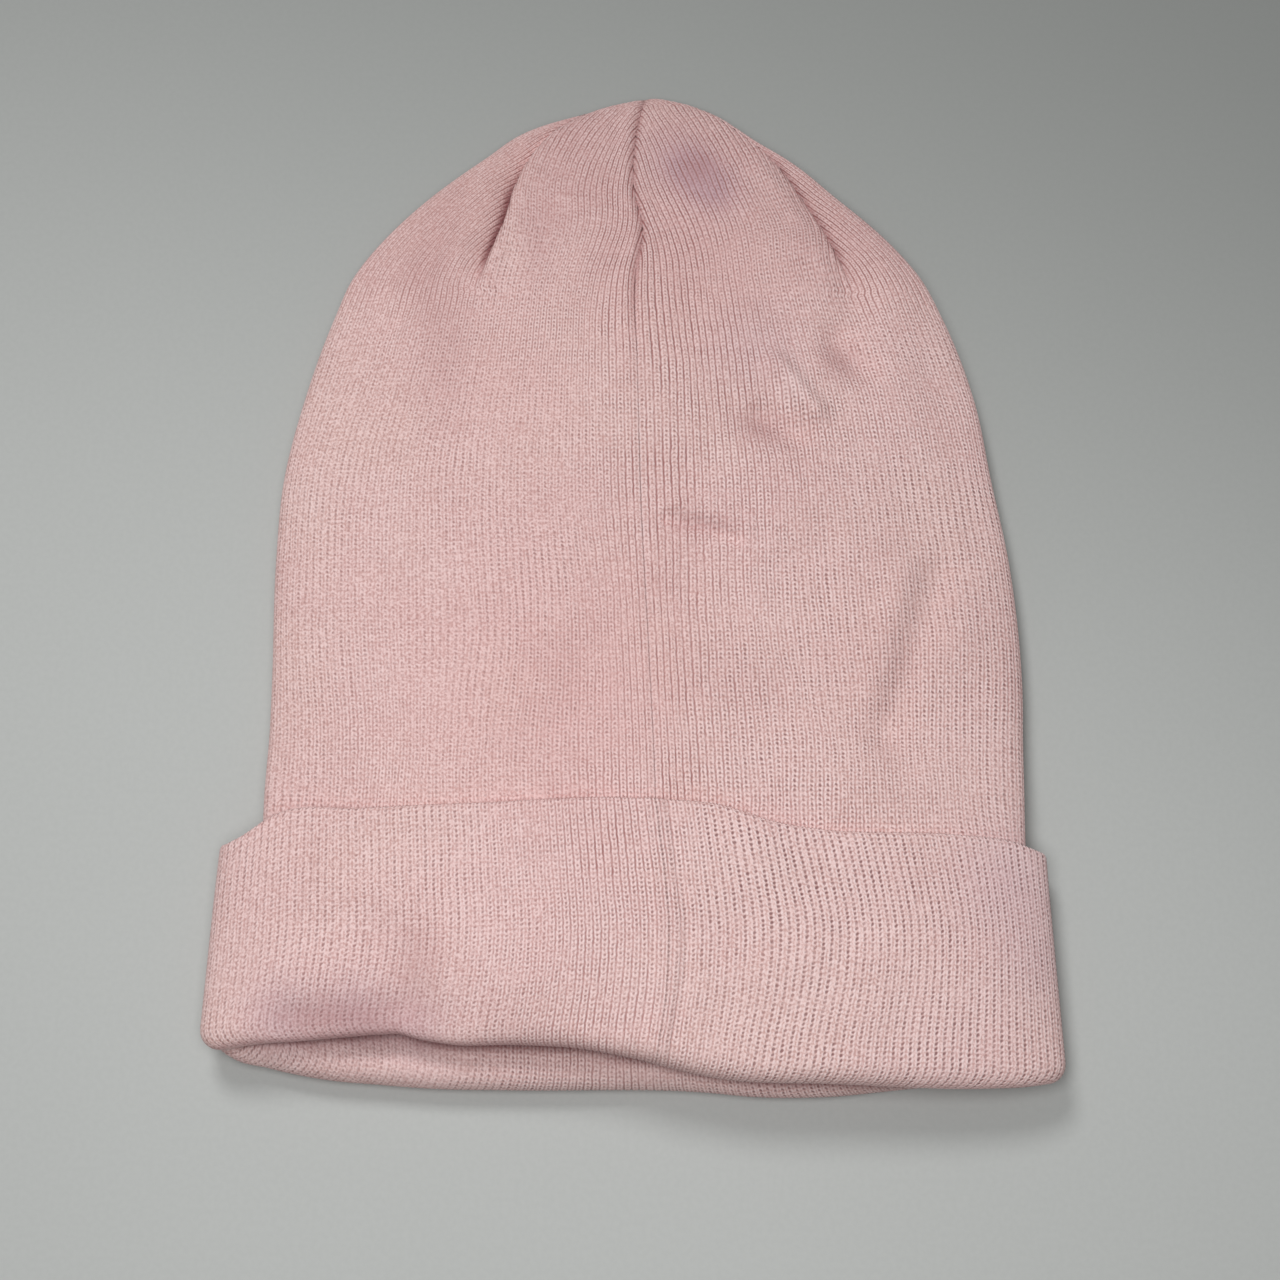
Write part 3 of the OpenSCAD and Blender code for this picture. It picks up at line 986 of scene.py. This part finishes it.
def noise(tree, scale, detail):
    """Noise fixed to the object, about 0.5, with features of 1 / scale metres."""
    place = tree.nodes.new("ShaderNodeTexCoord")
    node = tree.nodes.new("ShaderNodeTexNoise")
    node.inputs["Scale"].default_value = scale
    node.inputs["Detail"].default_value = detail
    tree.links.new(place.outputs["Object"], node.inputs["Vector"])
    return Wire(tree, node.outputs["Fac"])


def mix_colour(tree, factor, first, second):
    node = tree.nodes.new("ShaderNodeMix")
    node.data_type = "RGBA"
    colours = [socket for socket in node.inputs if socket.type == "RGBA"]
    put(tree, factor, node.inputs[0])
    put(tree, first, colours[0])
    put(tree, second, colours[1])
    return Wire(tree, [socket for socket in node.outputs if socket.type == "RGBA"][0])


def new_material(name):
    material = bpy.data.materials.new(name)
    material.use_nodes = True
    tree = material.node_tree
    return material, tree, tree.nodes["Principled BSDF"]


# The yarn's own colour, and those that parts of the cloth turn towards. The groove, hole, crease and
# wear-and-shade colours also serve as painted shade, and the light colour as painted highlights.
YARN = (0.83, 0.485, 0.458, 1)
YARN_HOLE_SHADE = (0.27, 0.125, 0.125, 1)
YARN_GROOVE_SHADE = (0.42, 0.19, 0.18, 1)
YARN_SHADE = (0.55, 0.33, 0.31, 1)
YARN_LIGHT = (1.0, 0.785, 0.77, 1)
YARN_WEAR_AND_SHADE = (0.46, 0.22, 0.225, 1)
YARN_CREASE_SHADE = (0.24, 0.07, 0.075, 1)
YARN_LILAC = (0.45, 0.31, 0.42, 1)
YARN_BLUSH = (0.80, 0.43, 0.415, 1)
YARN_PEACH = (0.83, 0.52, 0.465, 1)
THREAD_LIGHT = (0.72, 0.46, 0.43, 1)
THREAD_DARK = (0.58, 0.33, 0.31, 1)
SHEEN_TINT = (1.0, 0.86, 0.84, 1)
FLOOR = (0.54, 0.555, 0.54, 1)
FLOOR_LIGHT = (0.57, 0.585, 0.57, 1)
FLOOR_GRAIN = (0.30, 0.31, 0.30, 1)
FLOOR_FAR_SHADE = (0.24, 0.25, 0.24, 1)


def add_bump(tree, shader, height, strength, distance):
    bump = tree.nodes.new("ShaderNodeBump")
    bump.inputs["Strength"].default_value = strength
    bump.inputs["Distance"].default_value = distance
    tree.links.new(height.socket, bump.inputs["Height"])
    tree.links.new(bump.outputs[0], shader.inputs["Normal"])


def stitch_pattern(tree):
    """How deep the grooves and the holes between stitches are, and how bright the strands are. The material
    bumps them, and also paints shade into the grooves and holes and a highlight onto the strands.

    It follows the knit's own numbers: u counts the wales and v the courses, both a little uneven.
    """
    uv = tree.nodes.new("ShaderNodeUVMap")
    uv.uv_map = "stitches"
    split = tree.nodes.new("ShaderNodeSeparateXYZ")
    tree.links.new(uv.outputs[0], split.inputs[0])
    u = Wire(tree, split.outputs[0]) + (noise(tree, 700, 1.0) - 0.5) * 0.22
    v = Wire(tree, split.outputs[1]) + (noise(tree, 650, 1.0) - 0.5) * 0.55
    openness = attribute(tree, "openness")
    closed = openness * -1 + 1
    clear = noise(tree, 260, 2.0).step(0.3, 0.7, 0.55, 1.0) * attribute(tree, "crispness")

    from_wale = u.to_whole()
    from_groove = from_wale * -1 + 0.5
    groove = from_groove.step(0.19, 0.0) * closed
    beside = u.math("WRAP", 0.5, -0.5)
    slanted = (v + beside * 0.9 * openness).to_whole() * 1.05
    hole_size = openness * 0.14 + 0.34
    hole = (from_wale * 1.8).hypot(slanted).step(hole_size, hole_size * 0.3)
    strand_off = (from_wale - 0.27).math("ABSOLUTE") * 1.9
    strand_along = (v + from_wale * 0.9 + 0.5).to_whole() * 0.7
    strand = strand_off.hypot(strand_along).step(0.44, 0.06)
    return groove * 0.95 * clear, hole * (openness * 0.30 + 0.36) * clear, strand * clear


def knit_material(name):
    """Soft wool in a fine rib, with darker, paler and faintly stained patches, painted shade in its grooves,
    holes, creases, valleys and mouth, and painted highlights on its strands and ridges.
    """
    material, tree, shader = new_material(name)
    grooved, holed, light = stitch_pattern(tree)

    warm = mix_colour(tree, noise(tree, 22, 2.0).step(0.35, 0.7), YARN, YARN_PEACH)
    fibre = mix_colour(tree, noise(tree, 1500, 3.0).step(0.38, 0.64), YARN_SHADE, YARN_LIGHT)
    fuzzy = mix_colour(tree, 0.58, warm, fibre)
    # painted highlight: the strands are lightened in colour where light would catch the raised loops
    strand_highlighted = mix_colour(tree, (light * 0.75).at_most(1.0), fuzzy, YARN_LIGHT)
    blush = mix_colour(tree, attribute(tree, "blush") * 0.3, strand_highlighted, YARN_BLUSH)
    lilac = mix_colour(tree, attribute(tree, "lilac") * 0.45, blush, YARN_LILAC)
    tone_and_shade_level = attribute(tree, "tone_and_shade")
    # painted shade and highlights: below 0 the level darkens valleys, the lip and the crown, and above 0 it
    # lightens ridges, besides the yarn's uneven tone
    wear_and_shade = mix_colour(tree, (tone_and_shade_level * -0.13).at_least(0.0), lilac, YARN_WEAR_AND_SHADE)
    paler_and_highlight = mix_colour(tree, (tone_and_shade_level * 0.16).at_least(0.0), wear_and_shade, YARN_LIGHT)
    # painted shade: the grooves between ribs and the holes between stitches are darkened in colour
    groove_shaded = mix_colour(tree, grooved.at_most(1.0), paler_and_highlight, YARN_GROOVE_SHADE)
    deep = mix_colour(tree, holed.at_most(1.0), groove_shaded, YARN_HOLE_SHADE)
    # painted shade in the darts' creases, along the seam and inside the mouth
    crease_shaded = mix_colour(tree, attribute(tree, "creased"), deep, YARN_CREASE_SHADE)
    tree.links.new(crease_shaded.socket, shader.inputs["Base Color"])

    height = (holed + grooved) * -0.7 + light * 0.35 + noise(tree, 2400, 3.0) * 0.4
    add_bump(tree, shader, height, 0.55, 0.0004)
    roughness = noise(tree, 900, 2.0).step(0.2, 0.8, 0.82, 0.98)
    tree.links.new(roughness.socket, shader.inputs["Roughness"])
    shader.inputs["Specular IOR Level"].default_value = 0.25
    shader.inputs["Sheen Weight"].default_value = 0.1
    shader.inputs["Sheen Roughness"].default_value = 0.55
    shader.inputs["Sheen Tint"].default_value = SHEEN_TINT
    return material


def thread_material():
    """Twisted sewing thread in the yarn's colour."""
    material, tree, shader = new_material("seam_thread")
    colour = mix_colour(tree, noise(tree, 1800, 2.0), THREAD_LIGHT, THREAD_DARK)
    tree.links.new(colour.socket, shader.inputs["Base Color"])
    add_bump(tree, shader, noise(tree, 5000, 2.0), 0.5, 0.0002)
    shader.inputs["Roughness"].default_value = 0.85
    shader.inputs["Sheen Weight"].default_value = 0.2
    return material


materials = {slot: knit_material(slot) for slot in ("shell_knit", "lining_knit", "cuff_knit")}
materials["seam_thread"] = thread_material()

# ---------------- pieces, bodies and slots

# Every piece: (piece, the CAD node that it stands for, its slot)
pieces = [
    (shell_left, "shell_back_left", "shell_knit"),
    (shell_right, "shell_back_right", "shell_knit"),
    (shell_front, "shell_front", "shell_knit"),
    (lining_left, "lining_back_left", "lining_knit"),
    (lining_right, "lining_back_right", "lining_knit"),
    (lining_front, "lining_front", "lining_knit"),
    (cuff_left, "cuff_back_left", "cuff_knit"),
    (cuff_right, "cuff_back_right", "cuff_knit"),
    (cuff_front, "cuff_front", "cuff_knit"),
    (facing_back, "cuff_facing_back", "cuff_knit"),
    (facing_front, "cuff_facing_front", "cuff_knit"),
    (allowance, "back_seam_allowance", "shell_knit"),
    (back_seam, "shell_back_seam", "seam_thread"),
    (lining_seam, "lining_back_seam", "seam_thread"),
    (cuff_thread, "cuff_back_seam", "seam_thread"),
    (darts[0], "dart_seam_back_left", "seam_thread"),
    (darts[1], "dart_seam_back_right", "seam_thread"),
    (darts[2], "dart_seam_front_left", "seam_thread"),
    (darts[3], "dart_seam_front_right", "seam_thread"),
    (crown_gather, "crown_gather", "shell_knit"),
    (lining_gather, "lining_gather", "lining_knit"),
]
for piece, node, slot in pieces:
    piece.data.materials.append(materials[slot])
    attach(piece, "root")
    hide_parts(node)

# ---------------- stage, light and camera

# In metres and degrees, apart from the lens
FLOOR_HALF = 2
LENS_MM = 56.25
SENSOR_MM = 36.0
CAMERA_PLACE = (-0.0001, -0.158, 0.5155)
CAMERA_TILT = 15.0
WHITE = (1.0, 1.0, 1.0)
WORLD_STRENGTH = 0.16


def floor_material():
    """A plain pale table top, with a fine grain, and painted shade that darkens it towards its far side."""
    material, tree, shader = new_material("floor")
    cloudy = mix_colour(tree, noise(tree, 6, 3.0), FLOOR, FLOOR_LIGHT)
    grain = noise(tree, 700, 3.0).step(0.3, 0.7)
    plain = mix_colour(tree, grain * 0.06, cloudy, FLOOR_GRAIN)
    place = tree.nodes.new("ShaderNodeTexCoord")
    split = tree.nodes.new("ShaderNodeSeparateXYZ")
    tree.links.new(place.outputs["Object"], split.inputs[0])
    # painted shade: the floor darkens towards the back and the right, where less light falls
    far = Wire(tree, split.outputs[1]) + Wire(tree, split.outputs[0]) * 0.35
    colour = mix_colour(tree, far.step(-0.10, 0.28, 0.0, 0.75), plain, FLOOR_FAR_SHADE)
    tree.links.new(colour.socket, shader.inputs["Base Color"])
    shader.inputs["Roughness"].default_value = 0.9
    shader.inputs["Specular IOR Level"].default_value = 0.1
    return material


floor_mesh = bpy.data.meshes.new("floor")
corners = [(-FLOOR_HALF, -FLOOR_HALF, 0), (FLOOR_HALF, -FLOOR_HALF, 0)]
corners += [(FLOOR_HALF, FLOOR_HALF, 0), (-FLOOR_HALF, FLOOR_HALF, 0)]
floor_mesh.from_pydata(corners, [], [(0, 1, 2, 3)])
floor = add_object("floor", floor_mesh)
floor.data.materials.append(floor_material())


def area_light(name, place, aim, size, power):
    light = bpy.data.lights.new(name, "AREA")
    light.shape = "DISK"
    light.size = size
    light.energy = power
    light.color = WHITE
    lamp = add_object(name, light)
    lamp.location = place
    lamp.rotation_euler = (Vector(aim) - Vector(place)).to_track_quat("-Z", "Y").to_euler()


area_light("near", (-0.03, -0.15, 0.52), (-0.03, -0.13, 0), 0.24, 1.25)
area_light("window", (-0.22, 0.50, 0.90), (0.0, -0.14, 0), 0.34, 4.1)

world = bpy.data.worlds.new("studio")
world.use_nodes = True
world.node_tree.nodes["Background"].inputs["Color"].default_value = (*WHITE, 1)
world.node_tree.nodes["Background"].inputs["Strength"].default_value = WORLD_STRENGTH
bpy.context.scene.world = world

camera_data = bpy.data.cameras.new("camera")
camera_data.lens = LENS_MM
camera_data.sensor_width = SENSOR_MM
camera = add_object("camera", camera_data)
camera.location = CAMERA_PLACE
camera.rotation_euler = (math.radians(CAMERA_TILT), 0, 0)
bpy.context.scene.camera = camera
bpy.context.scene.view_settings.view_transform = "Standard"
